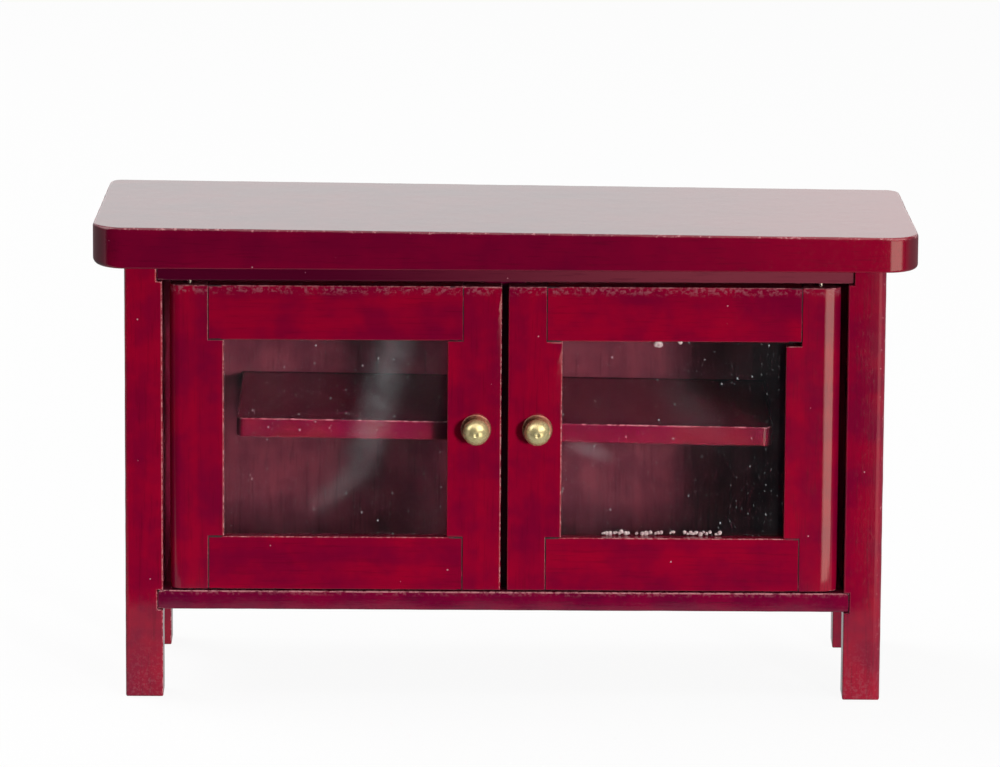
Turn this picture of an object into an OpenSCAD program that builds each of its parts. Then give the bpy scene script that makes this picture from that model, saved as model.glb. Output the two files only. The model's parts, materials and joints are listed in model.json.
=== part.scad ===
// Dolls' house bookcase, twelfth scale: a low cabinet on four square legs, with two glazed
// doors on wire pivots, one shelf, a thick top with rounded corners and two brass knobs.
// Frame: X to the right, Y to the back, Z up. The origin is on the floor, at the middle of
// the box that holds the whole cabinet, knobs included.

/* [Cabinet] */
// Width over the legs
cabinet_w = 107.2; // [90:0.1:140]
// Depth over the legs
cabinet_d = 35; // [28:0.1:50]
// Height from the floor to the top surface at its left end
cabinet_h = 68.15; // [58:0.05:90]

/* [Top board] */
// Thickness of the top board at its left end
top_t = 5.9; // [3:0.1:7]
// How much thinner it is at its right end
top_fall = 0.95; // [0:0.05:1.5]
// How far its front edge stands past the legs at each side
top_side_overhang = 4.45; // [1:0.05:6]
// How much it narrows towards the back at each end
top_end_taper = 1; // [0:0.1:2]
// How far the top board stands past the front legs
top_front_overhang = 1.3; // [0.5:0.05:4]
// How far the top board stands past the back legs
top_back_overhang = 0; // [0:0.05:2]
// Radius of the front corners, seen from above
top_front_r = 4.2; // [1:0.1:8]
// Radius of the back corners, seen from above
top_back_r = 2; // [0.5:0.1:3]

/* [Legs] */
// Width of a leg
leg_w = 5.4; // [4.6:0.1:8]
// Depth of a leg
leg_d = 5.3; // [4.6:0.1:8]
// Depth of the slots in the legs that hold the boards
housing = 0.8; // [0.4:0.1:1.2]

/* [Boards] */
// Height of the underside of the bottom board
bottom_z = 12.75; // [8:0.05:18]
// Thickness of the bottom board
bottom_t = 2.8; // [2:0.1:4]
// How far the bottom board's front edge lies behind the legs' front faces
bottom_setback = 0.3; // [0.1:0.05:1]
// Thickness of the side panels
side_t = 3.2; // [2.4:0.1:4]
// Thickness of the back panel
back_t = 1.6; // [1:0.1:2.2]
// How far the back panel lies inside the legs' back faces
back_recess = 0.4; // [0.2:0.05:1]
// Height of the front rail under the top board
rail_h = 2; // [1.8:0.1:3]
// Depth of the front rail
rail_d = 4; // [3:0.1:6]
// How far the front rail lies behind the legs' front faces
rail_setback = 0.65; // [0.3:0.05:1]

/* [Shelf] */
// Length of the shelf
shelf_w = 76; // [50:0.5:86]
// Thickness of the shelf
shelf_t = 2.8; // [1.6:0.1:4]
// Clear height between the bottom board and the shelf
shelf_clear_h = 20.8; // [10:0.1:30]
// Distance from the door stop to the shelf's front edge
shelf_gap = 0.4; // [0.2:0.1:6]
// Radius of the shelf's front corners
shelf_r = 1.3; // [0.5:0.1:4]
// Depth of the groove in the back panel that holds the shelf
shelf_groove = 0.6; // [0.3:0.1:0.8]
// How much lower the shelf's right end lies than its left end
shelf_fall = 1; // [0:0.1:1.5]
// How much higher its back edge lies than its front edge
shelf_rise = 0.6; // [0:0.1:1]

/* [Doors] */
// Thickness of a door frame
door_t = 3.1; // [2.8:0.1:3.6]
// How far the doors lie behind the legs' front faces
door_setback = 0.4; // [0.2:0.05:0.8]
// Gap between a leg and a door
side_gap = 0.95; // [0.6:0.05:1.4]
// Gap between the two doors
middle_gap = 0.85; // [0.5:0.05:1.5]
// Gap between the bottom board and a door
gap_below = 0.2; // [0.15:0.05:0.6]
// Gap between a door and the front rail
gap_above = 0.55; // [0.3:0.05:1.5]
// Width of the stiles, the upright pieces of a door frame
stile_w = 7.7; // [6:0.1:10]
// Height of a door's top rail
top_rail_h = 7.9; // [5:0.1:10]
// Height of a door's bottom rail
bottom_rail_h = 7.7; // [5:0.1:10]
// How far each rail is let into the stiles
rail_lap = 2.25; // [1:0.05:2.6]
// How far one notch, at the right door's upper hinge corner, was cut below its rail
notch_overcut = 0.5; // [0.2:0.05:0.9]

/* [Door stop] */
// Width of the upright strip that both doors close against
stop_w = 6; // [3:0.1:12]
// Thickness of that strip
stop_t = 1; // [0.6:0.1:1.6]
// Gap between the strip and the closed doors
stop_play = 0.1; // [0.05:0.05:0.3]

/* [Glass] */
// Thickness of a pane
glass_t = 0.7; // [0.5:0.05:0.9]
// How far a pane reaches behind its frame on every side
glass_edge = 1.1; // [1:0.05:1.5]
// Thickness of wood left in front of a pane
glass_lip = 1.8; // [1.2:0.1:1.9]
// Clearance round a pane in its rebate
glass_play = 0.05; // [0.02:0.01:0.1]

/* [Pivots] */
// Diameter of the pivot wires
pin_d = 0.6; // [0.5:0.05:1]
// Radial running clearance of a pivot wire in its hole
pin_play = 0.04; // [0.02:0.01:0.08]
// Distance from a door's hinge edge to its pivot axis
pin_inset = 2.85; // [1.9:0.05:3.2]
// Length of wire held in the door
pin_in_door = 4; // [2.5:0.1:5]
// Length of wire that reaches into the cabinet
pin_in_cabinet = 1.5; // [1:0.1:1.6]
// Clearance at the end of a pivot hole
pin_end_play = 0.1; // [0.05:0.01:0.15]

/* [Knobs] */
// Diameter of the ball of a knob
knob_d = 3.45; // [2.5:0.05:5]
// Distance from a door's face to the middle of the ball
knob_reach = 2.6; // [2.6:0.05:4]
// Diameter of the flange at the foot of a knob
flange_d = 4.3; // [3:0.1:5]
// Thickness of that flange
flange_t = 0.35; // [0.2:0.05:0.6]
// Diameter of a knob's neck and of the shank in the door
shank_d = 1.2; // [0.8:0.1:1.6]
// Depth of the shank in the door
shank_in_door = 2; // [1:0.1:2.4]
// Diameter of the punched dimple at the front of the ball
dimple_d = 0.6; // [0.4:0.05:1]
// Height of the knobs above the middle of the doors
knob_rise = 1.4; // [-8:0.1:8]
// Distance from the left door's free edge to its knob
left_knob_inset = 3.6; // [3:0.05:4.2]
// Distance from the right door's free edge to its knob
right_knob_inset = 4.2; // [3:0.05:4.2]

/* [Hidden] */
$fn = 64;
eps = 0.5;                       // how far a cut runs out past a face

under_top_z = cabinet_h - top_t;
leg_in_x = cabinet_w / 2 - leg_w;
board_end_x = leg_in_x + housing;          // ends of the boards, in the legs' slots
back_y = cabinet_d - back_recess - back_t; // inner face of the back panel
bottom_top_z = bottom_z + bottom_t;
panel_h = under_top_z - bottom_z;

door_back_y = door_setback + door_t;
door_in_x = middle_gap / 2;
door_out_x = leg_in_x - side_gap;
door_low_z = bottom_top_z + gap_below;
door_high_z = under_top_z - rail_h - gap_above;
edge_r = door_t / 2;             // the hinge edge is a full half round
mid_door_y = door_setback + edge_r;

window_in_x = door_in_x + stile_w;
window_out_x = door_out_x - stile_w;
window_low_z = door_low_z + bottom_rail_h;
window_high_z = door_high_z - top_rail_h;
pane_y = door_setback + glass_lip;

pivot_x = door_out_x - pin_inset;
pin_r = pin_d / 2;
hole_r = pin_r + pin_play;
hole_depth = pin_in_cabinet + pin_end_play;
knob_z = (door_low_z + door_high_z) / 2 + knob_rise;

shelf_z = bottom_top_z + shelf_clear_h;
stop_front_y = door_back_y + stop_play;
shelf_front_y = stop_front_y + stop_t + shelf_gap;
shelf_d = back_y + shelf_groove - shelf_front_y;

// The whole cabinet is moved so that the origin lies under the middle of its box
knob_front_y = door_setback - knob_reach - knob_d / 2;
box_front_y = min(knob_front_y, -top_front_overhang);
middle_y = (box_front_y + cabinet_d + top_back_overhang) / 2;

wood = [0.50, 0.02, 0.14];
dark_wood = [0.40, 0.02, 0.13];
inner_wood = [0.36, 0.15, 0.17];

// ---- shared shapes -------------------------------------------------------------------

// Moves a piece from the front legs' face, where Y is 0 here, into the part's own frame
module place() {
    translate([0, -middle_y, 0]) children();
}

// The same piece on the left, as a mirror image of the one on the right
module on_left() {
    mirror([1, 0, 0]) children();
}

// A block given by its two corners
module block(low, high) {
    translate(low) cube(high - low);
}

// What rounding takes off a corner at the origin, when the shape lies towards +X and +Y
module corner_bite(r) {
    difference() {
        translate([-eps, -eps]) square(r + eps);
        translate([r, r]) circle(r);
    }
}

// A board outline with rounded corners. Between them its ends lean in by the taper.
module board_outline(half_w, front_y, rear_y, front_r, rear_r, taper) {
    rear_w = half_w - taper;
    right_end = [[half_w, front_y], [half_w, front_y + front_r],
                 [rear_w, rear_y - rear_r], [rear_w, rear_y]];
    left_end = [for (i = [3:-1:0]) [-right_end[i].x, right_end[i].y]];
    difference() {
        polygon(concat(right_end, left_end));
        for (side = [0, 1]) mirror([side, 0]) {
            translate([-half_w, front_y]) corner_bite(front_r);
            if (rear_r > 0) translate([-rear_w, rear_y]) mirror([0, 1]) corner_bite(rear_r);
        }
    }
}

// An upright round bar or hole on a door's pivot axis
module on_pivot(r, low_z, high_z) {
    translate([pivot_x, mid_door_y, low_z]) cylinder(r = r, h = high_z - low_z);
}

// ---- cabinet -------------------------------------------------------------------------

// The thick top, planed a little thinner towards its right end
module top_board() {
    half_w = cabinet_w / 2 + top_side_overhang;
    rear_y = cabinet_d + top_back_overhang;
    color(dark_wood) place() difference() {
        translate([0, 0, under_top_z])
            linear_extrude(top_t)
                board_outline(half_w, -top_front_overhang, rear_y, top_front_r, top_back_r,
                              top_end_taper);
        translate([-half_w, 0, cabinet_h]) rotate([0, atan(top_fall / (2 * half_w)), 0])
            block([-eps, -top_front_overhang - eps, 0],
                  [2 * half_w + eps, rear_y + eps, top_fall + eps]);
    }
}

// The front rail's ends sit in the front legs, and the doors' upper wires turn in it
module front_rail() {
    color(dark_wood) place() difference() {
        block([-board_end_x, rail_setback, under_top_z - rail_h],
              [board_end_x, rail_setback + rail_d, under_top_z]);
        for (side = [0, 1]) mirror([side, 0, 0])
            on_pivot(hole_r, under_top_z - rail_h - eps, under_top_z - rail_h + hole_depth);
    }
}

// The bottom board's ends sit in all four legs, and the doors' lower wires turn in it
module bottom_board() {
    color(wood) place() difference() {
        block([-board_end_x, bottom_setback, bottom_z], [board_end_x, back_y, bottom_top_z]);
        for (side = [0, 1]) mirror([side, 0, 0])
            on_pivot(hole_r, bottom_top_z - hole_depth, bottom_top_z + eps);
    }
}

// The back panel stands in grooves in the back legs and carries the shelf in a groove
module back_panel() {
    color(inner_wood) place() difference() {
        block([-board_end_x, back_y, bottom_z], [board_end_x, back_y + back_t, under_top_z]);
        at_shelf() block([-shelf_w / 2, shelf_d - shelf_groove - eps, 0],
                         [shelf_w / 2, shelf_d, shelf_t]);
    }
}

// Puts a piece, drawn from the shelf's front lower edge at 0, where the shelf was glued in
// a little out of level
module at_shelf() {
    translate([0, shelf_front_y, shelf_z])
        rotate([atan(shelf_rise / shelf_d), atan(shelf_fall / shelf_w), 0])
            children();
}

module shelf() {
    color(wood) place() at_shelf()
        linear_extrude(shelf_t) board_outline(shelf_w / 2, 0, shelf_d, shelf_r, 0, 0);
}

// An upright strip behind the middle gap, from the bottom board to the front rail
module door_stop() {
    color(dark_wood) place()
        block([-stop_w / 2, stop_front_y, bottom_top_z],
              [stop_w / 2, stop_front_y + stop_t, under_top_z - rail_h]);
}

// Right front leg: slots for the bottom board and the front rail, a rebate for the side
module front_leg() {
    difference() {
        block([leg_in_x, 0, 0], [cabinet_w / 2, leg_d, under_top_z]);
        block([leg_in_x - eps, -eps, bottom_z], [board_end_x, leg_d + eps, bottom_top_z]);
        block([leg_in_x - eps, -eps, under_top_z - rail_h],
              [board_end_x, rail_setback + rail_d, under_top_z + eps]);
        block([leg_in_x - eps, leg_d - housing, bottom_z],
              [leg_in_x + side_t, leg_d + eps, under_top_z + eps]);
    }
}

// Right back leg: slots for the bottom board, the side panel and the back panel
module back_leg() {
    front_y = cabinet_d - leg_d;
    difference() {
        block([leg_in_x, front_y, 0], [cabinet_w / 2, cabinet_d, under_top_z]);
        block([leg_in_x - eps, front_y - eps, bottom_z], [board_end_x, back_y, bottom_top_z]);
        block([leg_in_x - eps, front_y - eps, bottom_z],
              [leg_in_x + side_t, front_y + housing, under_top_z + eps]);
        block([leg_in_x - eps, back_y, bottom_z],
              [board_end_x, back_y + back_t, under_top_z + eps]);
    }
}

// Right side panel, flush with the legs inside, stepped over the bottom board's end
// and a notch for the front rail's end
module side_panel() {
    difference() {
        block([leg_in_x, leg_d - housing, bottom_z],
              [leg_in_x + side_t, cabinet_d - leg_d + housing, under_top_z]);
        block([leg_in_x - eps, -eps, bottom_z - eps], [board_end_x, cabinet_d, bottom_top_z]);
        block([leg_in_x - eps, -eps, under_top_z - rail_h],
              [board_end_x, rail_setback + rail_d, under_top_z + eps]);
    }
}

module right_front_leg() { color(wood) place() front_leg(); }
module left_front_leg() { color(wood) place() on_left() front_leg(); }
module right_back_leg() { color(wood) place() back_leg(); }
module left_back_leg() { color(wood) place() on_left() back_leg(); }
module right_side_panel() { color(wood) place() side_panel(); }
module left_side_panel() { color(wood) place() on_left() side_panel(); }

// ---- doors, each drawn as the right one ----------------------------------------------

// The rebate behind a door frame that the pane is glued into, open at the back
module pane_rebate() {
    reach = glass_edge + glass_play;
    block([window_in_x - reach, pane_y, window_low_z - reach],
          [window_out_x + reach, door_back_y + eps, window_high_z + reach]);
}

// The stretch that a rail takes, let into both stiles
module rail_block(low_z, high_z) {
    block([window_in_x - rail_lap, door_setback, low_z],
          [window_out_x + rail_lap, door_back_y, high_z]);
}

// The same stretch, run out past the faces it leaves, to cut the stiles with
module rail_notch(low_z, high_z) {
    block([window_in_x - rail_lap, door_setback - eps, low_z],
          [window_out_x + rail_lap, door_back_y + eps, high_z]);
}

module rail_notches() {
    rail_notch(door_low_z - eps, window_low_z);
    rail_notch(window_high_z, door_high_z + eps);
}

// Upright with a half-round hinge edge. One notch may be cut lower than its rail needs.
module hinge_stile(overcut) {
    difference() {
        translate([0, 0, door_low_z]) linear_extrude(door_high_z - door_low_z) {
            translate([window_out_x, door_setback]) square([stile_w - edge_r, door_t]);
            translate([door_out_x - edge_r, mid_door_y]) circle(edge_r);
        }
        rail_notches();
        rail_notch(window_high_z - overcut, door_high_z + eps);
        pane_rebate();
        on_pivot(pin_r, door_low_z - eps, door_low_z + pin_in_door);
        on_pivot(pin_r, door_high_z - pin_in_door, door_high_z + eps);
    }
}

module lock_stile(knob_inset) {
    difference() {
        block([door_in_x, door_setback, door_low_z], [window_in_x, door_back_y, door_high_z]);
        rail_notches();
        pane_rebate();
        at_knob(knob_inset) shank(eps);
    }
}

module top_rail() {
    difference() {
        rail_block(window_high_z, door_high_z);
        pane_rebate();
    }
}

module bottom_rail() {
    difference() {
        rail_block(door_low_z, window_low_z);
        pane_rebate();
    }
}

module pane() {
    block([window_in_x - glass_edge, pane_y, window_low_z - glass_edge],
          [window_out_x + glass_edge, pane_y + glass_t, window_high_z + glass_edge]);
}

// Puts a knob's axis, drawn along +Z with the door's face at 0, on the lock stile
module at_knob(inset) {
    translate([door_in_x + inset, door_setback, knob_z]) rotate([90, 0, 0]) children();
}

// The part of a knob inside the door
module shank(past_face) {
    translate([0, 0, -shank_in_door]) cylinder(d = shank_d, h = shank_in_door + past_face);
}

// A turned knob: shank, thin flange, neck and a ball with a punched dimple
module knob() {
    difference() {
        union() {
            shank(0);
            cylinder(d = flange_d, h = flange_t);
            cylinder(d = shank_d, h = knob_reach);
            translate([0, 0, knob_reach]) sphere(d = knob_d);
        }
        translate([0, 0, knob_reach + knob_d / 2]) sphere(d = dimple_d);
    }
}

module upper_pin() {
    on_pivot(pin_r, door_high_z - pin_in_door, under_top_z - rail_h + pin_in_cabinet);
}

module lower_pin() {
    on_pivot(pin_r, bottom_top_z - pin_in_cabinet, door_low_z + pin_in_door);
}

module right_hinge_stile() { color(wood) place() hinge_stile(notch_overcut); }
module right_lock_stile() { color(wood) place() lock_stile(right_knob_inset); }
module right_top_rail() { color(wood) place() top_rail(); }
module right_bottom_rail() { color(wood) place() bottom_rail(); }
module right_glass() { color("lightcyan", 0.35) place() pane(); }
module right_knob() { color("gold") place() at_knob(right_knob_inset) knob(); }
module right_upper_pin() { color("silver") place() upper_pin(); }
module right_lower_pin() { color("silver") place() lower_pin(); }

module left_hinge_stile() { color(wood) place() on_left() hinge_stile(0); }
module left_lock_stile() { color(wood) place() on_left() lock_stile(left_knob_inset); }
module left_top_rail() { color(wood) place() on_left() top_rail(); }
module left_bottom_rail() { color(wood) place() on_left() bottom_rail(); }
module left_glass() { color("lightcyan", 0.35) place() on_left() pane(); }
module left_knob() { color("gold") place() on_left() at_knob(left_knob_inset) knob(); }
module left_upper_pin() { color("silver") place() on_left() upper_pin(); }
module left_lower_pin() { color("silver") place() on_left() lower_pin(); }

top_board();
front_rail();
bottom_board();
back_panel();
shelf();
door_stop();
left_front_leg();
right_front_leg();
left_back_leg();
right_back_leg();
left_side_panel();
right_side_panel();
left_hinge_stile();
left_lock_stile();
left_top_rail();
left_bottom_rail();
left_glass();
left_knob();
left_upper_pin();
left_lower_pin();
right_hinge_stile();
right_lock_stile();
right_top_rail();
right_bottom_rail();
right_glass();
right_knob();
right_upper_pin();
right_lower_pin();
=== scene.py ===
"""Looks of a miniature two-door bookcase in red-stained wood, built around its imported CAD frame."""

import json
import math
import random

import bmesh
import bpy
from mathutils import Matrix, Vector, noise

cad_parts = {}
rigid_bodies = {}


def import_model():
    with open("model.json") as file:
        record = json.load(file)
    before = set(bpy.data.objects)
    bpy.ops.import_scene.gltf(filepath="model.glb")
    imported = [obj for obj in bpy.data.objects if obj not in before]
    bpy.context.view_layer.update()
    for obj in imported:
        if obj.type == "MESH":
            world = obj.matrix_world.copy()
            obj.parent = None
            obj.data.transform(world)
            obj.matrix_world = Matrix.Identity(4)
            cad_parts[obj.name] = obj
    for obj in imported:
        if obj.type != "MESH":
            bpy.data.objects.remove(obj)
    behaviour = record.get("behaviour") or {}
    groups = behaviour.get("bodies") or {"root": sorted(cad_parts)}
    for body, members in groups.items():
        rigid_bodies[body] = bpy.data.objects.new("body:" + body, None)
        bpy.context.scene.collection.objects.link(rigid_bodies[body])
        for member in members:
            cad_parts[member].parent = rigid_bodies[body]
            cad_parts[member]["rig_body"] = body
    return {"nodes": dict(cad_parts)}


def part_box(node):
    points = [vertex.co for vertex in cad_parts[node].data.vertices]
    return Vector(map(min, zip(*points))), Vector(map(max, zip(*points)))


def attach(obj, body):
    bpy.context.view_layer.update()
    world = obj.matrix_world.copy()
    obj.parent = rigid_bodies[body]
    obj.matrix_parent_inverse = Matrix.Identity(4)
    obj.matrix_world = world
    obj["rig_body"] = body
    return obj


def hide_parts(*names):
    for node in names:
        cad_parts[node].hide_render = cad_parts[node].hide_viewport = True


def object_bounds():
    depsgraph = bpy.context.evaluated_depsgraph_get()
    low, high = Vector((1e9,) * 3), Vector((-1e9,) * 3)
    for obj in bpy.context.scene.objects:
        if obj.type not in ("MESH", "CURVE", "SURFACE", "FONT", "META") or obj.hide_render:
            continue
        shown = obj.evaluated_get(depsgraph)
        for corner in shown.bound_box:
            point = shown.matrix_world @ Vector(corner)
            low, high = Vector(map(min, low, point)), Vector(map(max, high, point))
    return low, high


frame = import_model()
cad_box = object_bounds()
NODES = frame["nodes"]
MM = 0.001
X_AXIS, Z_AXIS = 0, 2
SIDES = ("left", "right")


# ---------------------------------------------------------------- node trees


MIX_FACTOR, MIX_FIRST, MIX_SECOND, MIX_RESULT = 0, 6, 7, 2    # sockets of a Mix node that mixes colours


class Graph:
    """A node tree being filled; an input is given as a value or as another node's output socket."""

    def __init__(self, tree):
        self.tree = tree
        tree.nodes.clear()

    def feed(self, socket, value):
        if isinstance(value, bpy.types.NodeSocket):
            self.tree.links.new(value, socket)
        else:
            socket.default_value = value

    def add(self, kind, inputs=None, **settings):
        made = self.tree.nodes.new(kind)
        for key, value in settings.items():
            setattr(made, key, value)
        for key, value in (inputs or {}).items():
            self.feed(made.inputs[key], value)
        return made

    def math(self, operation, first, second=0.0, third=0.0):
        made = self.add("ShaderNodeMath", {0: first, 1: second, 2: third}, operation=operation)
        return made.outputs[0]

    def ramp(self, value, low, high, start=0.0, end=1.0):
        """start where value is at most low, end where it is at least high, smooth between."""
        made = self.add(
            "ShaderNodeMapRange",
            {"Value": value, "From Min": low, "From Max": high, "To Min": start, "To Max": end},
            interpolation_type="SMOOTHSTEP",
        )
        return made.outputs["Result"]

    def mix(self, factor, first, second):
        """first and second are colours, each a socket or a tuple of three."""
        made = self.add("ShaderNodeMix", data_type="RGBA")
        self.feed(made.inputs[MIX_FACTOR], factor)
        for number, colour in ((MIX_FIRST, first), (MIX_SECOND, second)):
            self.feed(made.inputs[number], (*colour, 1.0) if isinstance(colour, tuple) else colour)
        return made.outputs[MIX_RESULT]

    def noise(self, vector, scale, detail=2.0, roughness=0.5):
        inputs = {"Vector": vector, "Scale": scale, "Detail": detail, "Roughness": roughness}
        return self.add("ShaderNodeTexNoise", inputs).outputs["Fac"]

    def patches(self, vector, scale, detail, roughness, low, high):
        """A noise ramped from 0, where it is at most low, to 1, where it is at least high."""
        return self.ramp(self.noise(vector, scale, detail, roughness), low, high)

    def specks(self, vector, scale, start, radius, dimensions="3D"):
        """1 in a speck and 0 between them, and the number from 0 to 1 of the cell that the point is in.

        A cell has a speck if its number is over start. The speck grows with the number, up to radius,
        where a cell is 1 wide.
        """
        cells = self.add(
            "ShaderNodeTexVoronoi",
            {"Vector": vector, "Scale": scale, "Randomness": 1.0},
            voronoi_dimensions=dimensions,
        )
        number = self.add("ShaderNodeSeparateColor", {"Color": cells.outputs["Color"]}).outputs["Red"]
        reach = self.ramp(number, start, 1.0, 0.0, radius)
        return self.math("LESS_THAN", cells.outputs["Distance"], reach), number

    def place(self, vector, scale=(1.0, 1.0, 1.0), move=(0.0, 0.0, 0.0)):
        inputs = {"Vector": vector, "Scale": scale, "Location": move}
        return self.add("ShaderNodeMapping", inputs).outputs["Vector"]

    def split(self, vector):
        """Its X, Y and Z."""
        return self.add("ShaderNodeSeparateXYZ", {"Vector": vector}).outputs

    def bump(self, height, depth, under=None):
        """height is 0 to 1, and depth is what 1 stands for, in millimetres."""
        inputs = {"Height": height, "Distance": depth * MM, "Strength": 1.0}
        if under is not None:
            inputs["Normal"] = under
        return self.add("ShaderNodeBump", inputs).outputs["Normal"]

    def principled(self, inputs):
        return self.add("ShaderNodeBsdfPrincipled", inputs).outputs["BSDF"]

    def surface(self, shader):
        self.add("ShaderNodeOutputMaterial", {"Surface": shader})


def new_material(name):
    made = bpy.data.materials.new(name)
    made.use_nodes = True
    return made, Graph(made.node_tree)


def millimetres(graph, move=(0.0, 0.0, 0.0)):
    """The point being shaded in the piece's own coordinates, in millimetres, shifted by move."""
    point = graph.add("ShaderNodeTexCoord").outputs["Object"]
    return graph.place(point, scale=(1 / MM, 1 / MM, 1 / MM), move=move)


def shuffled(graph, seed, reach):
    """The same point, shifted by up to reach mm along each axis, so that no two pieces look alike."""
    draw = random.Random(seed)
    return millimetres(graph, [draw.uniform(-reach, reach) for _ in range(3)])


# ---------------------------------------------------------------- objects


def add_object(name, mesh, materials):
    """A new object with the bmesh, which is freed."""
    data = bpy.data.meshes.new(name)
    mesh.to_mesh(data)
    mesh.free()
    for material in materials:
        data.materials.append(material)
    made = bpy.data.objects.new(name, data)
    bpy.context.scene.collection.objects.link(made)
    return made


def only_material(node, material):
    """Gives a CAD node the material and no other."""
    NODES[node].data.materials.clear()
    NODES[node].data.materials.append(material)


def body_of(node):
    return NODES[node]["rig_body"]


def box_in_mm(node):
    low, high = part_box(node)
    return low / MM, high / MM


# ---------------------------------------------------------------- wood


CRIMSON = (0.262, 0.0005, 0.0170)
CRIMSON_DEEP = (0.140, 0.0004, 0.0200)
SLAB_RED = (0.155, 0.0005, 0.0180)
SLAB_DEEP = (0.110, 0.0004, 0.0170)
SHELF_RED = (0.140, 0.0060, 0.0130)
SILL = (0.165, 0.0006, 0.0230)
SILL_DEEP = (0.080, 0.0005, 0.0200)
# the front rail's dark tone is painted shade under the top board, and the paler tone it fades into towards
# the right is a painted sheen
RAIL_PAINTED_SHADE = (0.065, 0.0006, 0.0130)
RAIL_PAINTED_SHEEN = (0.170, 0.0260, 0.0420)
# pale pink of beads of varnish on edges, which also serves as a painted highlight on the sides that face up
# or to the right
BEADS_AND_GLINTS = (0.420, 0.1500, 0.1650)
# pale spots; on the tops of the doors and of the bottom board they are partly rubbed varnish and partly a
# painted highlight
RUBBED_AND_SHEEN = (0.270, 0.0750, 0.1000)
DUST = (0.520, 0.2600, 0.3000)
JOINT_DARK = (0.012, 0.0010, 0.0045)
BROWN = (0.150, 0.0250, 0.0370)
BROWN_DEEP = (0.075, 0.0110, 0.0200)

GLOSS = 0.07           # roughness of the varnish
DULL = 0.5             # roughness where it is thin or missing
WOOD_IOR = 1.5
GRAIN_STRETCH = 0.05   # how fast the grain changes along the fibre, as a share of how fast across it
WOOD_SHIFT = 500       # how far a piece's patterns are shifted at most, mm

# Patterns: scale per mm, detail and roughness of a noise, and in the first three its ramp too
FIGURE = (0.3, 3.0, 0.5, 0.36, 0.64)      # broad streaks along the fibre
CLOUD = (0.16, 3.0, 0.6, 0.35, 0.65)      # stain that has soaked in unevenly
CRACKS = (0.5, 3.0, 0.6, 0.38, 0.48)      # varnish broken along a joint
FINE = (3.2, 3.0, 0.65)                   # fine lines along the fibre
MOTTLE = (1.7, 3.0, 0.75)                 # rubbed spots and small lumps
BEADING = (1.5, 3.0, 0.75)                # beads of varnish, which are partly a painted highlight
PEEL = (0.4, 1.0)                         # slow waves in the varnish
LINE_RAMP = (0.52, 0.7)
SPOT_RAMP = (0.48, 0.62)
LUMP_RAMP = (0.5, 0.8)
END_RAMP = (0.3, 0.8)                     # of how squarely a surface faces along the fibre
SUNNY_RAMP = (0.15, 0.5)                  # of how squarely it faces up or to the right
BEAD_START = (0.62, 0.28)                 # the beads' ramp when there are none, and its fall when there are most
BEAD_END = (0.76, 0.26)

FIGURE_SHARE = 0.4     # share of the streaks in the tone; the rest is cloud
STREAKS = 0.9          # share of the deep colour where both are at their height
LINE_TONE = 0.45       # brightness of the fine lines, as a share of the deep colour's
END_TONE = 0.35        # the same for end grain
END_SHARE = 0.8        # how far end grain, rubbed spots and dust cover what is under them
SPOT_SHARE = 0.75
DUST_SHARE = 0.8
DUST_SCALE = 0.6       # cells per mm
DUST_RADIUS = 0.08     # of the largest speck, in cells
FINE_DEPTH = 0.003     # mm, and so are the next two
PEEL_DEPTH = 0.006
LUMP_DEPTH = 0.003
LINE_ROUGHNESS = 0.04  # what the fine lines add to the roughness


def facing(graph, axis):
    """How squarely the surface of the piece faces along the axis: 1 towards it, -1 away from it."""
    normal = graph.add("ShaderNodeTexCoord").outputs["Normal"]
    return graph.split(normal)[axis]


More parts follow.
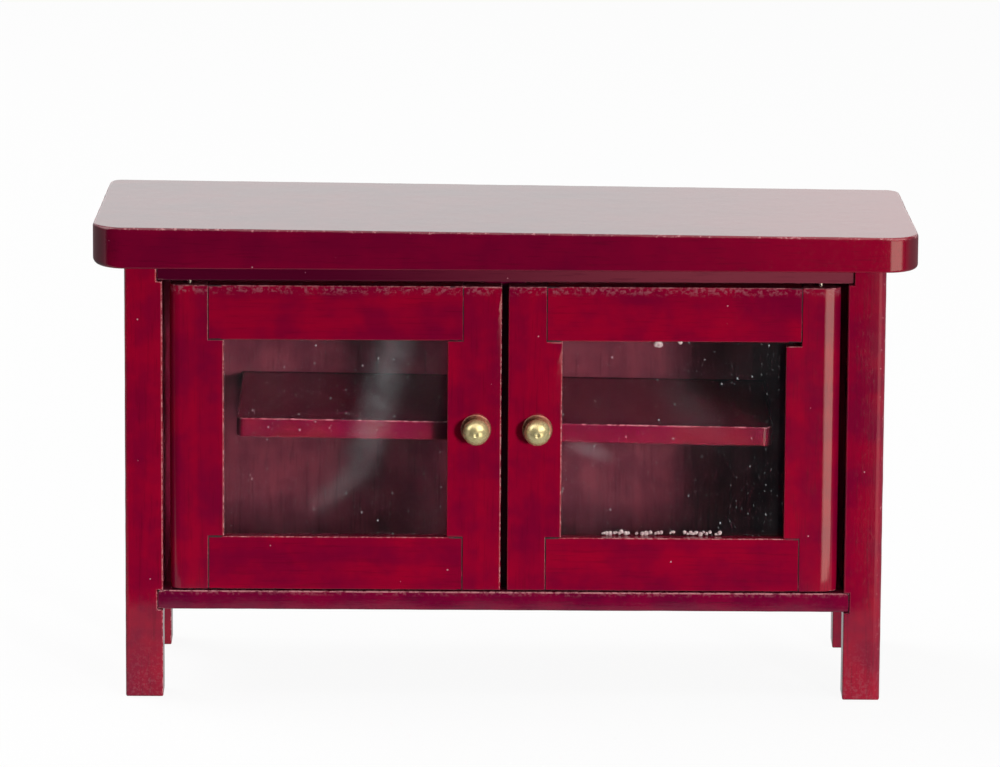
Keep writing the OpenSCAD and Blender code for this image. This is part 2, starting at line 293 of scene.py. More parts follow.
def wood(name, grain, stain, deep, seed, gloss=GLOSS, pores=0.3, relief=1.0, worn=None, bead_and_glint_amount=0.0,
         dust=0.0, scuffs=(), fade=None, broken=False, specular=0.5):
    """Varnished wood whose fibres run along the axis grain, between the tones stain and deep.

    worn is the tone of beads of varnish and rubbed spots on the parts that face up or to the right, and
    wear is how many there are, 0 to 1. The beads there are partly a painted highlight on the sides where the
    light falls. scuffs are (axis, from, to) in mm: pale spots grow from none to many between the two, and at
    the tops of the doors and of the bottom board they are partly a painted highlight. fade is (axis, from,
    to, tone): the colour turns into that tone between them, and on the front rail it turns painted shade
    into a painted sheen.
    broken puts dark stretches where the varnish has cracked along a joint.
    """
    made, graph = new_material(name)
    where = graph.split(millimetres(graph))
    point = shuffled(graph, seed, WOOD_SHIFT)
    stretch = [GRAIN_STRETCH if axis == grain else 1.0 for axis in range(3)]
    fibre = graph.place(point, scale=stretch)

    figure = graph.patches(fibre, *FIGURE)
    cloud = graph.patches(point, *CLOUD)
    fine = graph.noise(fibre, *FINE)
    line = graph.ramp(fine, *LINE_RAMP)

    tone = graph.math("MULTIPLY", cloud, 1.0 - FIGURE_SHARE)
    tone = graph.math("MULTIPLY_ADD", figure, FIGURE_SHARE, tone)
    colour = graph.mix(graph.math("MULTIPLY", tone, STREAKS), stain, deep)
    # on the front rail this fade turns painted shade into a painted sheen
    if fade is not None:
        axis, start, end, faded = fade
        colour = graph.mix(graph.ramp(where[axis], start, end), colour, faded)
    darker = tuple(LINE_TONE * c for c in deep)
    colour = graph.mix(graph.math("MULTIPLY", line, pores), colour, darker)

    across = graph.math("ABSOLUTE", facing(graph, grain))
    end_grain = graph.ramp(across, *END_RAMP)
    soaked = tuple(END_TONE * c for c in deep)
    colour = graph.mix(graph.math("MULTIPLY", end_grain, END_SHARE), colour, soaked)

    mottle = graph.noise(point, *MOTTLE)
    # pale spots; at the tops of the doors and of the bottom board they are partly a painted highlight
    for axis, start, end in scuffs:
        near = graph.ramp(where[axis], start, end)
        spots = graph.math("MULTIPLY", near, graph.ramp(mottle, *SPOT_RAMP))
        colour = graph.mix(graph.math("MULTIPLY", spots, SPOT_SHARE), colour, RUBBED_AND_SHEEN)
    # beads of varnish, partly a painted highlight, only on the sides that face up or to the right, where the
    # light falls
    if worn is not None:
        sunny = graph.math("MAXIMUM", facing(graph, Z_AXIS), facing(graph, X_AXIS))
        low, high = (clean - fall * bead_and_glint_amount for clean, fall in (BEAD_START, BEAD_END))
        beads = graph.ramp(graph.noise(point, *BEADING), low, high)
        beads = graph.math("MULTIPLY", beads, graph.ramp(sunny, *SUNNY_RAMP))
        colour = graph.mix(beads, colour, worn)
    if broken:
        colour = graph.mix(graph.patches(point, *CRACKS), colour, JOINT_DARK)
    if dust > 0.0:
        speck, _ = graph.specks(point, DUST_SCALE, 1.0 - dust, DUST_RADIUS)
        colour = graph.mix(graph.math("MULTIPLY", speck, DUST_SHARE), colour, DUST)

    peel = graph.noise(point, *PEEL)
    normal = graph.bump(fine, FINE_DEPTH * relief)
    normal = graph.bump(peel, PEEL_DEPTH * relief, under=normal)
    normal = graph.bump(graph.ramp(mottle, *LUMP_RAMP), LUMP_DEPTH * relief, under=normal)
    rough = graph.math("MULTIPLY_ADD", line, LINE_ROUGHNESS, gloss)
    rough = graph.math("MULTIPLY_ADD", end_grain, DULL - gloss, rough)
    graph.surface(graph.principled({
        "Base Color": colour,
        "Roughness": rough,
        "IOR": WOOD_IOR,
        "Specular IOR Level": specular,
        "Normal": normal,
    }))
    return made


# ---------------------------------------------------------------- wooden pieces


ARRIS = 0.24         # rounding of an edge that shows, mm
SEAM = 0.11          # rounding of an edge that meets another piece, mm
LARGEST = 1.1        # rounding of the most worn edge, mm
ROUND_FACETS = 4     # facets of a rounded edge
SLICE = 1.9          # length of one stretch of an edge, mm
CUT_SNAP = 0.02      # a corner this near a cut isn't cut off again, mm
WOBBLE = 0.05        # how far a sanded edge wanders inward, mm
SLOW_WOBBLE = 0.45   # waves per mm of its long waves, and of its short ones
FAST_WOBBLE = 1.3
TOUCH = 0.03         # two pieces this close touch, mm
NEARLY = 0.25        # a door's lower edge stays crisp this near the bottom board, mm
HOLE_REACH = 0.75    # no edge this near a pivot's axis is rounded, mm
ON_FACE = 0.1        # a point this near a face of a box is on it, mm
WELD = 0.001         # corners this close are one, mm
FLAT = math.radians(1)      # faces that meet at less than this are one
SHARP = math.radians(35)    # edges that turn by more than this are rounded
NORMAL_WEIGHT = 90   # above 50, large faces count for more than small ones in the shading
METAL = ("pin", "knob")
SLOTS = ("face", "arris", "seam")
FACE_SLOT, ARRIS_SLOT, SEAM_SLOT = range(len(SLOTS))

ARC_CUTS = 5         # new facets for each facet of a rounded corner, less one
ON_ARC = 0.03        # a point this near an arc is on it, mm
PAST_SLACK = 0.01    # a point this little short of an arc's middle still counts as past it, mm
CHORD = 0.05         # an edge shorter than this isn't a facet of an arc, mm
LEVEL = 0.1          # an edge that rises by less than this is level, mm

DOOR_EDGE_RADIUS = 1.55     # half the doors' thickness
DOOR_EDGE_REACH = {"left_hinge_stile": 1.55, "right_hinge_stile": 2.4}   # how far into the front, mm

# node: the two faces of its box that a softer arris lies between, and its rounding in mm
SOFT_ARRISES = {
    "right_front_leg": (("x+", "y-", 1.1),),
    "left_front_leg": (("x-", "y-", 0.55),),
    "bottom_board": (("y-", "z+", 0.32), ("y-", "z-", 0.3)),
}


def neighbours_of(node):
    """("hole" or "seam", lowest, highest corner in mm) of each piece that the node's edges may meet.

    The boxes are grown by the reach at which they do, and holes come before seams.
    """
    found = []
    for other in sorted(NODES):
        if other == node or "glass" in other:
            continue
        low, high = box_in_mm(other)
        if any(word in other for word in METAL):
            kind, reach = "hole", HOLE_REACH
        elif body_of(other) == body_of(node):
            kind, reach = "seam", TOUCH
        elif other == "bottom_board":
            kind, reach = "seam", NEARLY
        else:
            continue
        found.append((kind, low - Vector((reach,) * 3), high + Vector((reach,) * 3)))
    return sorted(found, key=lambda item: item[0])


def edge_kind(point, neighbours):
    """The kind is "hole" by a pin or knob, "seam" where another piece touches, and otherwise "arris"."""
    for kind, low, high in neighbours:
        if all(low[i] <= point[i] <= high[i] for i in range(3)):
            return kind
    return "arris"


def on_face(point, low, high, face):
    """Whether the point lies on a face of the box, such as "x+" or "z-"."""
    axis = "xyz".index(face[0])
    limit = high[axis] if face[1] == "+" else low[axis]
    return abs(point[axis] - limit) <= ON_FACE


def rounding_at(node, point, low, high, neighbours):
    kind = edge_kind(point, neighbours)
    if kind == "hole":
        return 0.0
    if kind == "seam":
        return SEAM
    for first, second, radius in SOFT_ARRISES.get(node, ()):
        if on_face(point, low, high, first) and on_face(point, low, high, second):
            return radius
    return ARRIS


def clean_copy(node):
    """The node's mesh in millimetres, welded, with flat faces whole."""
    mesh = bmesh.new()
    mesh.from_mesh(NODES[node].data)
    mesh.transform(Matrix.Scale(1 / MM, 4))
    bmesh.ops.remove_doubles(mesh, verts=mesh.verts, dist=WELD)
    bmesh.ops.dissolve_limit(mesh, angle_limit=FLAT, verts=mesh.verts, edges=mesh.edges)
    return mesh


def refine_arc(mesh, centre, radius):
    """Gives an upright rounded corner round the point centre, seen from above, many more facets."""
    def on_arc(vertex):
        return abs((vertex.co.xy - centre).length - radius) < ON_ARC

    chords = []
    for edge in mesh.edges:
        first, second = edge.verts
        if on_arc(first) and on_arc(second) and (first.co.xy - second.co.xy).length > CHORD:
            if abs(first.co.z - second.co.z) < LEVEL:
                chords.append(edge)
    if not chords:
        return
    cut = bmesh.ops.subdivide_edges(mesh, edges=chords, cuts=ARC_CUTS, use_grid_fill=True)
    for item in cut["geom_inner"]:
        if isinstance(item, bmesh.types.BMVert):
            offset = item.co.xy - centre
            if 0.5 * radius < offset.length < radius:
                item.co.xy = centre + offset.normalized() * radius


def round_hinge_edge(node, mesh, low, high):
    """Makes the hinge edge of a door smooth, and the right door's reach further into its front."""
    side = 1 if high.x > 0 else -1
    outer = high.x if side > 0 else low.x
    centre = Vector((outer - side * DOOR_EDGE_RADIUS, (low.y + high.y) / 2))
    refine_arc(mesh, centre, DOOR_EDGE_RADIUS)
    reach = DOOR_EDGE_REACH[node]
    for vertex in mesh.verts:
        past = side * (vertex.co.x - centre.x)
        if past > -PAST_SLACK:
            vertex.co.x = outer - side * reach * (1.0 - past / DOOR_EDGE_RADIUS)


def slice_along(mesh, axis, low, high):
    """Cuts the faces into stretches along axis, so that its edges can wander."""
    count = max(1, round((high[axis] - low[axis]) / SLICE))
    normal = Vector([1.0 if i == axis else 0.0 for i in range(3)])
    for step in range(1, count):
        at = low[axis] + (high[axis] - low[axis]) * step / count
        everything = mesh.verts[:] + mesh.edges[:] + mesh.faces[:]
        bmesh.ops.bisect_plane(mesh, geom=everything, plane_co=normal * at, plane_no=normal, dist=CUT_SNAP)


def mark_edges(node, mesh, low, high, neighbours):
    """Weighs each sharp edge by how far it is rounded."""
    for face in mesh.faces:
        face.material_index = FACE_SLOT
    weight = mesh.edges.layers.float.new("bevel_weight_edge")
    for edge in mesh.edges:
        if len(edge.link_faces) == 2 and edge.calc_face_angle(0.0) > SHARP:
            middle = (edge.verts[0].co + edge.verts[1].co) / 2
            edge[weight] = rounding_at(node, middle, low, high, neighbours) / LARGEST


def bevelled(name, mesh):
    """The mesh with its weighted edges rounded by a Bevel modifier, applied."""
    draft = add_object(name + "_draft", mesh, [None] * len(SLOTS))
    bevel = draft.modifiers.new("bevel", "BEVEL")
    bevel.limit_method = "WEIGHT"
    bevel.width = LARGEST
    bevel.segments = ROUND_FACETS
    bevel.material = ARRIS_SLOT
    bevel.use_clamp_overlap = False
    bpy.context.view_layer.update()
    evaluated = draft.evaluated_get(bpy.context.evaluated_depsgraph_get())
    result = bmesh.new()
    result.from_mesh(evaluated.to_mesh())
    evaluated.to_mesh_clear()
    data = draft.data
    bpy.data.objects.remove(draft)
    bpy.data.meshes.remove(data)
    return result


def wander(mesh, neighbours, seed):
    """Moves the rounded edges that show a little inward, as sanding does, and marks the seams' faces."""
    for face in mesh.faces:
        if face.material_index == ARRIS_SLOT:
            if edge_kind(face.calc_center_median(), neighbours) != "arris":
                face.material_index = SEAM_SLOT
    mesh.normal_update()
    start = Vector((seed * 7.3, seed * 3.1, seed * 5.7))
    for vertex in mesh.verts:
        if any(face.material_index == ARRIS_SLOT for face in vertex.link_faces):
            drop = WOBBLE * (0.5 + 0.5 * noise.noise(vertex.co * SLOW_WOBBLE + start))
            drop += 0.5 * WOBBLE * (0.5 + 0.5 * noise.noise(vertex.co * FAST_WOBBLE - start))
            vertex.co -= vertex.normal * drop


def wooden_piece(node, materials, seed):
    """A piece that stands for a wooden CAD node, with its arrises sanded round and its seams crisp."""
    low, high = box_in_mm(node)
    size = high - low
    longest = max(range(3), key=lambda i: size[i])
    neighbours = neighbours_of(node)
    mesh = clean_copy(node)
    if "hinge_stile" in node:
        round_hinge_edge(node, mesh, low, high)
    slice_along(mesh, longest, low, high)
    mark_edges(node, mesh, low, high, neighbours)
    mesh = bevelled(node, mesh)
    wander(mesh, neighbours, seed)
    return finished_wood(node, mesh, materials)


def finished_wood(node, mesh, materials):
    """The mesh, in mm, as a smooth piece that stands for the node."""
    mesh.transform(Matrix.Scale(MM, 4))
    for face in mesh.faces:
        face.smooth = True
    piece = add_object(node + "_wood", mesh, materials)
    shading = piece.modifiers.new("weighted_normals", "WEIGHTED_NORMAL")
    shading.weight = NORMAL_WEIGHT
    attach(piece, body_of(node))
    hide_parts(node)
    return piece


TOP_FRONT_RADIUS = 4.2      # corners of the top board, seen from above, mm
TOP_BACK_RADIUS = 2.0
TOP_END_TAPER = 1.0         # its back is this much narrower at each end
TOP_FALL = 0.95             # it is this much thinner at its right end
TOP_ARRIS = 0.42            # rounding of its upper edge
TOP_WEAR = 0.4              # by how much of itself that rounding varies
TOP_WEAR_SCALE = 0.4        # waves per mm
UNDER_FRONT = 0.3           # rounding of its lower edge, at the front and back, and at each end
UNDER_LEFT = 1.0
UNDER_RIGHT = 0.6
CORNER_STEPS = 14
ROUND_STEPS = 5


def top_outline(low, high):
    """Places and outward directions round the top board, seen from above, in mm."""
    arcs = []
    for side, end, radius, start in (
        (1, "front", TOP_FRONT_RADIUS, -90),
        (1, "back", TOP_BACK_RADIUS, 0),
        (-1, "back", TOP_BACK_RADIUS, 90),
        (-1, "front", TOP_FRONT_RADIUS, 180),
    ):
        outer = high.x - (TOP_END_TAPER if end == "back" else 0.0)
        y = low.y + radius if end == "front" else high.y - radius
        centre = Vector((side * (outer - radius), y))
        arc = []
        for step in range(CORNER_STEPS + 1):
            angle = math.radians(start + 90 * step / CORNER_STEPS)
            outward = Vector((math.cos(angle), math.sin(angle)))
            arc.append((centre + outward * radius, outward))
        arcs.append(arc)
    points = []
    for arc, after in zip(arcs, arcs[1:] + arcs[:1]):
        points += arc
        start, stop = arc[-1][0], after[0][0]
        steps = round((stop - start).length / SLICE)
        for step in range(1, steps):
            points.append((start.lerp(stop, step / steps), arc[-1][1]))
    return points


def under_edge(low, outward, angle):
    """Inset and height on the rounding below the top board: angle 0 is underneath, 90 degrees beside."""
    at_end = UNDER_LEFT if outward.x < 0 else UNDER_RIGHT
    radius = UNDER_FRONT + (at_end - UNDER_FRONT) * abs(outward.x)
    return radius * (1 - math.sin(angle)), low.z + radius * (1 - math.cos(angle))


def upper_edge(low, high, place, angle, seed):
    """Inset and height on its worn upper rounding: angle 0 is beside it, 90 degrees on top."""
    top = high.z - TOP_FALL * (place.x - low.x) / (high.x - low.x)
    worn = noise.noise(Vector((place.x * TOP_WEAR_SCALE, place.y * TOP_WEAR_SCALE, seed * 3.7)))
    radius = TOP_ARRIS * (1.0 + TOP_WEAR * worn)
    return radius * (1 - math.cos(angle)), top - radius * (1 - math.sin(angle))


def top_board_piece(materials, seed):
    """The top board as one smooth body: rounded corners, worn upper edge, and thinner to the right."""
    low, high = box_in_mm("top_board")
    outline = top_outline(low, high)
    mesh = bmesh.new()
    rings = []
    for part in ("under", "upper"):
        for step in range(ROUND_STEPS + 1):
            angle = math.radians(90 * step / ROUND_STEPS)
            ring = []
            for place, outward in outline:
                if part == "under":
                    inset, z = under_edge(low, outward, angle)
                else:
                    inset, z = upper_edge(low, high, place, angle, seed)
                spot = place - outward * inset
                ring.append(mesh.verts.new((spot.x, spot.y, z)))
            rings.append(ring)
    count = len(outline)
    for number, (lower, upper) in enumerate(zip(rings, rings[1:])):
        for step in range(count):
            after = (step + 1) % count
            face = mesh.faces.new((lower[step], lower[after], upper[after], upper[step]))
            face.material_index = ARRIS_SLOT if number > ROUND_STEPS else FACE_SLOT
    mesh.faces.new(list(reversed(rings[0])))
    mesh.faces.new(rings[-1])
    return finished_wood("top_board", mesh, materials)


DOOR_TOP = box_in_mm("left_lock_stile")[1].z
SILL_TOP = box_in_mm("bottom_board")[1].z
# pale spots along the tops of the doors and of the bottom board: rubbed varnish and a painted highlight
DOOR_TOP_RUB_AND_SHEEN = ((Z_AXIS, DOOR_TOP - 1.6, DOOR_TOP - 0.5),)
SILL_RUB_AND_SHEEN = ((Z_AXIS, SILL_TOP - 0.9, SILL_TOP - 0.1),)
PALER_TO_FOOT = ((Z_AXIS, 13.0, -16.0),)    # paler spots growing towards the foot, nearly half covering it at the floor
ARRIS_GLOSS = 0.14
# beads along the joints, partly a painted highlight
SEAM_BEADS_AND_GLINTS = 0.3

# what an ordinary piece gets, and then, for each node, what differs from that
PLAIN = {"grain": Z_AXIS, "stain": CRIMSON, "deep": CRIMSON_DEEP, "bead_and_glint_amount": 0.6, "dust": 0.2}
SIDE_PANEL = {"stain": SLAB_RED, "deep": SLAB_DEEP, "gloss": 0.45, "specular": 0.2}
LOOKS = {
    "top_board": {
        "grain": X_AXIS, "stain": SLAB_RED, "deep": SLAB_DEEP, "bead_and_glint_amount": 0.3, "relief": 1.3,
        "gloss": 0.08, "fade": (X_AXIS, 0.0, 80.0, CRIMSON),
    },
    # painted shade under the top board, fading into a painted sheen towards the right
    "front_rail": {
        "grain": X_AXIS, "stain": RAIL_PAINTED_SHADE, "deep": RAIL_PAINTED_SHADE, "bead_and_glint_amount": 0.0,
        "fade": (X_AXIS, -30.0, 35.0, RAIL_PAINTED_SHEEN),
    },
    "bottom_board": {"grain": X_AXIS, "stain": SILL, "deep": SILL_DEEP, "bead_and_glint_amount": 0.85, "scuffs": SILL_RUB_AND_SHEEN},
    "shelf": {"grain": X_AXIS, "stain": SHELF_RED, "deep": SLAB_DEEP},
    # a darkest-stained strip behind the gap between the doors, so that the gap shows as dark shade
    "door_stop": {"stain": SLAB_DEEP, "deep": SILL_DEEP},
    "back_panel": {
        "stain": BROWN, "deep": BROWN_DEEP, "gloss": 0.5, "specular": 0.04, "pores": 0.45,
        "bead_and_glint_amount": 0.0, "dust": 0.0,
    },
    "left_back_leg": {},
    "right_back_leg": {},
    "right_front_leg": {"scuffs": PALER_TO_FOOT, "bead_and_glint_amount": 0.1, "arris_gloss": 0.45},
    "left_front_leg": {"scuffs": PALER_TO_FOOT, "arris_gloss": 0.25},
    "left_side_panel": SIDE_PANEL,
    "right_side_panel": SIDE_PANEL,
}
for side, unevenness in zip(SIDES, (1.0, 1.3)):
    LOOKS[f"{side}_hinge_stile"] = {"scuffs": DOOR_TOP_RUB_AND_SHEEN, "gloss": 0.12, "relief": unevenness}
    LOOKS[f"{side}_lock_stile"] = {"scuffs": DOOR_TOP_RUB_AND_SHEEN}
    LOOKS[f"{side}_top_rail"] = {"grain": X_AXIS, "scuffs": DOOR_TOP_RUB_AND_SHEEN}
    LOOKS[f"{side}_bottom_rail"] = {"grain": X_AXIS}


def build_woodwork():
    for seed, node in enumerate(sorted(LOOKS)):
        look = {**PLAIN, **LOOKS[node], "seed": seed}
        arris_gloss = max(look.pop("arris_gloss", ARRIS_GLOSS), look.get("gloss", 0.0))
        joint = {
            **look, "stain": look["deep"], "fade": None, "scuffs": (), "gloss": DULL,
            "bead_and_glint_amount": SEAM_BEADS_AND_GLINTS, "broken": True,
        }
        face = wood(node + "_face", **{**look, "bead_and_glint_amount": 0.0})
        # edges and joints get beads that are partly a painted highlight
        arris = wood(node + "_arris", worn=BEADS_AND_GLINTS, **{**look, "gloss": arris_gloss})
        seam = wood(node + "_seam", worn=BEADS_AND_GLINTS, **joint)
        if node == "top_board":
            piece = top_board_piece((face, arris, seam), seed)
        else:
            piece = wooden_piece(node, (face, arris, seam), seed)


build_woodwork()


# ---------------------------------------------------------------- metal


BALL_RADIUS = 1.86          # of a knob, in mm, and so is all that follows
BALL_STAND_OFF = 2.02
FLANGE_RADIUS = 2.14
FLANGE_THICKNESS = 0.34
SHANK_RADIUS = 0.75
SPINDLE_RADIUS = 0.55
DIMPLE_RADIUS = 0.42
DIMPLE_DEPTH = 0.16
DIMPLE_RINGS = (0.85, 0.6, 0.35)    # shares of its radius
BALL_STEPS = 26
KNOB_SIDES = 72
KNOB_SHARP = math.radians(40)

BRASS_BRIGHT = (0.60, 0.52, 0.27)
BRASS_DARK = (0.42, 0.35, 0.15)
SPILT_VARNISH = (0.15, 0.006, 0.016)
SPILT_REACH = 0.22          # how far it comes up the knob, and how much further in places, mm
SPILT_UNEVEN = 0.5
BRASS_METALLIC = 0.55
BRASS_CLOUD = (1.4, 3.0, 0.6)
TARNISH_RAMP = (0.45, 0.65)
TURNING = (0.2, 14.0, 0.2)  # how often the turning marks change along each axis, per mm

WIRE_BRIGHT = (0.66, 0.62, 0.58)
WIRE_DARK = (0.42, 0.38, 0.34)
DRAWN_ALONG = 0.05          # how fast its drawing marks change along it, as a share of how fast across
DRAWN = (9.0, 3.0)


def knob_profile(spindle_depth):
    """(radius, distance in front of the door) of a turned knob, from the spindle's end to the dimple."""
    points = [(0.0, -spindle_depth), (SPINDLE_RADIUS - 0.1, -spindle_depth)]
    points += [(SPINDLE_RADIUS, 0.1 - spindle_depth), (SPINDLE_RADIUS, 0.0), (FLANGE_RADIUS - 0.05, 0.0)]
    points += [(FLANGE_RADIUS, 0.06), (FLANGE_RADIUS, 0.16), (FLANGE_RADIUS - 0.1, 0.26)]
    points += [(FLANGE_RADIUS - 0.35, FLANGE_THICKNESS - 0.01), (SHANK_RADIUS + 0.35, FLANGE_THICKNESS)]
    points += [(SHANK_RADIUS + 0.1, FLANGE_THICKNESS + 0.08), (SHANK_RADIUS, FLANGE_THICKNESS + 0.25)]
    start = math.asin(SHANK_RADIUS / BALL_RADIUS)
    stop = math.pi - math.asin(DIMPLE_RADIUS / BALL_RADIUS)
    for step in range(BALL_STEPS + 1):
        angle = start + (stop - start) * step / BALL_STEPS
        points.append((BALL_RADIUS * math.sin(angle), BALL_STAND_OFF - BALL_RADIUS * math.cos(angle)))
    rim = points[-1][1]
    for share in DIMPLE_RINGS:
        points.append((DIMPLE_RADIUS * share, rim - DIMPLE_DEPTH * (1 - share * share)))
    points.append((0.0, rim - DIMPLE_DEPTH))
    return points


def turned_knob(side, material):
    node = f"{side}_knob"
    low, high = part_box(node)
    face_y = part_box(f"{side}_lock_stile")[0].y
    centre = Vector(((low.x + high.x) / 2, face_y, (low.z + high.z) / 2))
    depth = (high.y - face_y) / MM
    mesh = bmesh.new()
    rings = []
    for radius, forward in knob_profile(depth):
        y = centre.y - forward * MM
        if radius == 0.0:
            rings.append([mesh.verts.new((centre.x, y, centre.z))])
            continue
        ring = []
        for step in range(KNOB_SIDES):
            angle = 2 * math.pi * step / KNOB_SIDES
            x = centre.x + radius * MM * math.cos(angle)
            z = centre.z + radius * MM * math.sin(angle)
            ring.append(mesh.verts.new((x, y, z)))
        rings.append(ring)
    for inner, outer in zip(rings, rings[1:]):
        for step in range(KNOB_SIDES):
            after = (step + 1) % KNOB_SIDES
            corners = []
            for ring, turn in ((inner, step), (inner, after), (outer, after), (outer, step)):
                vertex = ring[turn % len(ring)]
                if vertex not in corners:
                    corners.append(vertex)
            mesh.faces.new(corners).smooth = True
    bmesh.ops.recalc_face_normals(mesh, faces=mesh.faces)
    piece = add_object(node + "_turned", mesh, (material,))
    piece.data.set_sharp_from_angle(angle=KNOB_SHARP)
    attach(piece, f"{side}_door")
    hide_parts(node)


def brass(name, face_y):
    """Polished brass with turning marks, and red varnish where it meets the door at face_y."""
    made, graph = new_material(name)
    point = millimetres(graph)
    forward = graph.math("SUBTRACT", face_y / MM, graph.split(point)["Y"])
    uneven = graph.noise(point, *BRASS_CLOUD)
    edge = graph.math("MULTIPLY_ADD", uneven, SPILT_UNEVEN, SPILT_REACH)
    varnish = graph.math("LESS_THAN", forward, edge)
    tarnish = graph.ramp(uneven, *TARNISH_RAMP)
    colour = graph.mix(graph.math("MULTIPLY", tarnish, 0.5), BRASS_BRIGHT, BRASS_DARK)
    colour = graph.mix(graph.math("MULTIPLY", varnish, 0.85), colour, SPILT_VARNISH)
    marks = graph.noise(graph.place(point, scale=TURNING), 1.0, 2.0)
    graph.surface(graph.principled({
        "Base Color": colour,
        "Metallic": BRASS_METALLIC,
        "Roughness": graph.math("MULTIPLY_ADD", tarnish, 0.12, 0.24),
        "Normal": graph.bump(marks, 0.004, under=graph.bump(uneven, 0.03)),
    }))
    return made


def wire_steel():
    made, graph = new_material("pivot_wire")
    drawn = graph.noise(graph.place(millimetres(graph), scale=(1.0, 1.0, DRAWN_ALONG)), *DRAWN)
    graph.surface(graph.principled({
        "Base Color": graph.mix(graph.ramp(drawn, 0.4, 0.7), WIRE_BRIGHT, WIRE_DARK),
        "Metallic": 1.0,
        "Roughness": graph.ramp(drawn, 0.3, 0.7, 0.25, 0.45),
        "Normal": graph.bump(drawn, 0.006),
    }))
    return made


def build_metal():
    knob_brass = brass("knob_brass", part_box("left_lock_stile")[0].y)
    wire = wire_steel()
    for side in SIDES:
        turned_knob(side, knob_brass)
        for end in ("upper", "lower"):
            pin = f"{side}_{end}_pin"
            only_material(pin, wire)


build_metal()


# ---------------------------------------------------------------- glass


GLASS_TINT = (0.90, 0.92, 0.94, 1.0)
SHADOW_TINT = (0.93, 0.95, 0.94, 1.0)       # what it leaves of lamp light
GLASS_IOR = 1.5
GLASS_SHIFT = 200                           # how far a pane's patterns are shifted at most, mm
FILM_NOISE = (0.1, 3.0, 0.55)               # scale per mm, detail, roughness
FILM_RAMP = (0.35, 0.75, 0.0015, 0.0045)    # its ramp, and the shares of white that this runs between
RAGGED_NOISE = (0.35, 3.0, 0.6)
RAGGED_RAMP = (0.25, 0.75, 0.45, 1.0)
GRIT = ((0.45, 0.5, 0.055), (1.2, 0.6, 0.075))    # scale per mm, start and radius of specks
GRIT_WHITE = 0.2                            # share of white in the largest speck

# (start, end, half width, strength) of the streaks on each pane, with places as (x, z) in mm. On the left
# pane they are a painted reflection, and on the right pane smudges.
PANE_STREAKS = {
    "left": (((-14.8, 53.5), (-20.0, 34.5), 4.0, 0.043), ((-20.0, 33.0), (-26.5, 27.5), 2.6, 0.03)),
    "right": (((9.8, 36.3), (14.8, 34.9), 1.6, 0.05), ((24.0, 44.0), (30.0, 38.0), 4.0, 0.012)),
}


def streak_mask(graph, point, start, end, half_width):
    """1 on the line from start to end, given as (x, z) in mm, falling to 0 at half_width beside it."""
    along = (Vector(end) - Vector(start)).normalized()
    across = Vector((-along.y, along.x))
    x, _, z = graph.split(point)
    beside = graph.math("MULTIPLY_ADD", x, across.x, graph.math("MULTIPLY", z, across.y))
    beside = graph.math("ABSOLUTE", graph.math("SUBTRACT", beside, across.dot(Vector(start))))
    far = graph.math("MULTIPLY_ADD", x, along.x, graph.math("MULTIPLY", z, along.y))
    far = graph.math("SUBTRACT", far, along.dot(Vector(start)))
    length = (Vector(end) - Vector(start)).length
    begun = graph.ramp(far, -half_width, half_width)
    ends = graph.math("MULTIPLY", begun, graph.ramp(far, length + half_width, length - half_width))
    return graph.math("MULTIPLY", graph.ramp(beside, half_width, 0.0), ends)


def window_glass(name, seed, pane_marks):
    """Clear glass with dust, smudges and a painted reflection. Light from lamps passes straight through."""
    made, graph = new_material(name)
    place = millimetres(graph)
    x, _, z = graph.split(shuffled(graph, seed, GLASS_SHIFT))
    flat = graph.add("ShaderNodeCombineXYZ", {"X": x, "Y": z}).outputs["Vector"]
    ragged = graph.noise(flat, *RAGGED_NOISE)
    dirt_and_reflection = graph.ramp(graph.noise(flat, *FILM_NOISE), *FILM_RAMP)
    # the streaks on the left pane are a painted reflection, laid on as white film like the dust
    for start, end, half_width, strength in pane_marks:
        patch = streak_mask(graph, place, start, end, half_width)
        patch = graph.math("MULTIPLY", patch, graph.ramp(ragged, *RAGGED_RAMP))
        dirt_and_reflection = graph.math("MULTIPLY_ADD", patch, strength, dirt_and_reflection)
    for scale, start, radius in GRIT:
        speck, size = graph.specks(flat, scale, start, radius, dimensions="2D")
        dirt_and_reflection = graph.math("MULTIPLY_ADD", speck, graph.math("MULTIPLY", size, GRIT_WHITE), dirt_and_reflection)
    pane = graph.principled({
        "Base Color": GLASS_TINT,
        "Roughness": 0.0,
        "IOR": GLASS_IOR,
        "Transmission Weight": graph.math("SUBTRACT", 1.0, dirt_and_reflection),
    })
    clear = graph.add("ShaderNodeBsdfTransparent", {"Color": SHADOW_TINT}).outputs["BSDF"]
    lamp = graph.add("ShaderNodeLightPath").outputs["Is Shadow Ray"]
    graph.surface(graph.add("ShaderNodeMixShader", {0: lamp, 1: pane, 2: clear}).outputs["Shader"])
    return made


def build_glass():
    for seed, side in enumerate(SIDES):
        pane = f"{side}_glass"
        only_material(pane, window_glass(f"{side}_pane", seed, PANE_STREAKS[side]))


build_glass()


# ---------------------------------------------------------------- glue


